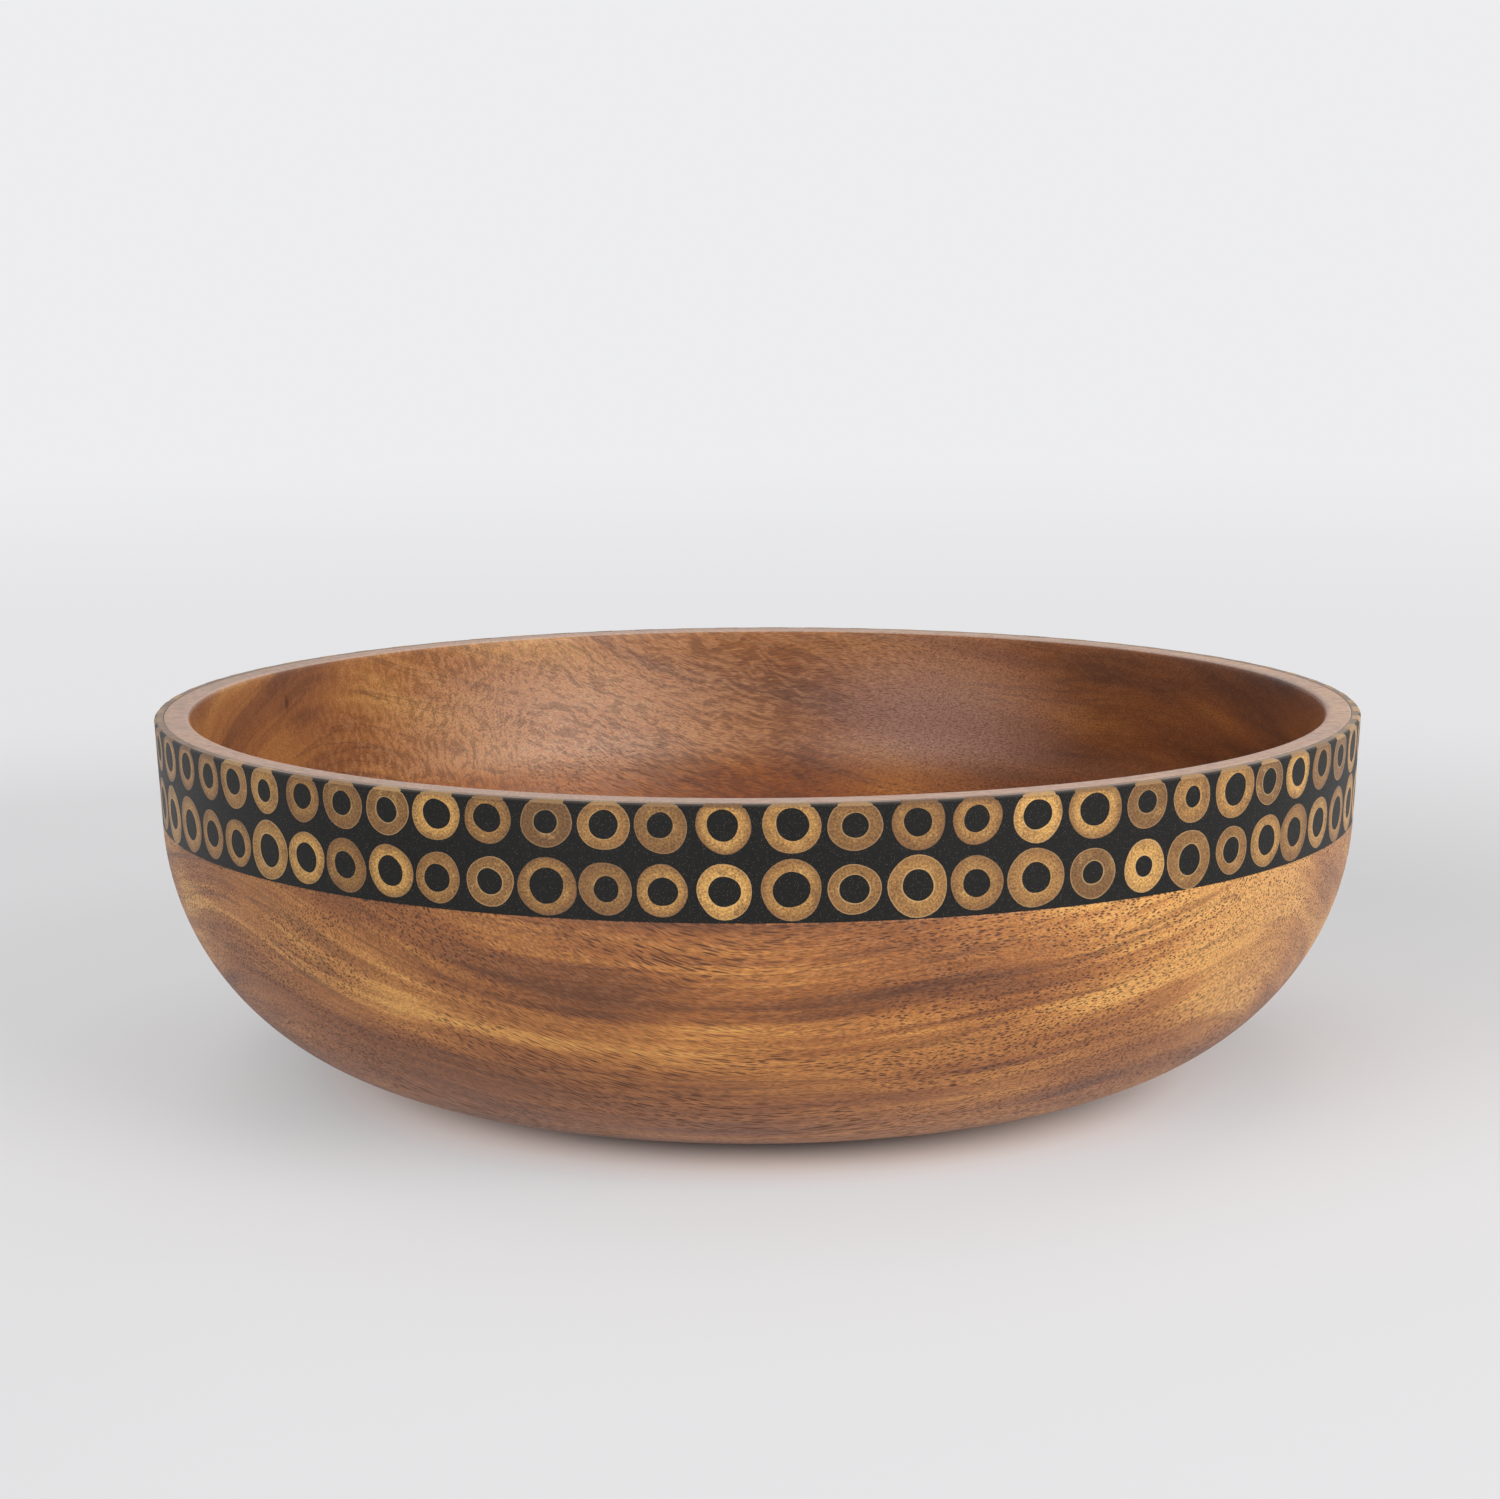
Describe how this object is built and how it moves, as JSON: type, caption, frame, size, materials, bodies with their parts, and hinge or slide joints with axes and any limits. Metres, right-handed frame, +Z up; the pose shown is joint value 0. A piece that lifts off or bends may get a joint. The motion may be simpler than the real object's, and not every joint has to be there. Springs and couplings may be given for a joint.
{
  "type": "inlaid wooden bowl",
  "caption": "Round turned wooden serving bowl with an upright wall, its rim banded outside with bamboo rings inlaid in black resin.",
  "frame": {"origin": "middle of the flat foot, on the surface the bowl stands on", "axes": "+Z up the turning axis to the open rim; +X and +Y level, -Y towards the side shown in front"},
  "size_m": [0.305, 0.305, 0.096],
  "materials": {
    "oiled_wood": "satin, oiled",
    "black_resin": "satin, sanded flush",
    "bamboo": "satin, sanded end grain"
  },
  "bodies": {
    "root": {"bowl_body": "oiled_wood", "resin_band": "black_resin", "bamboo_slices_a": "bamboo", "bamboo_slices_b": "bamboo", "bamboo_slices_c": "bamboo", "bamboo_slices_d": "bamboo", "bamboo_slices_e": "bamboo", "bamboo_slices_f": "bamboo", "bamboo_slices_g": "bamboo", "bamboo_slices_h": "bamboo", "bamboo_slices_i": "bamboo", "bamboo_slices_j": "bamboo", "bamboo_slices_k": "bamboo", "bamboo_slices_l": "bamboo"}
  },
  "joints": []
}
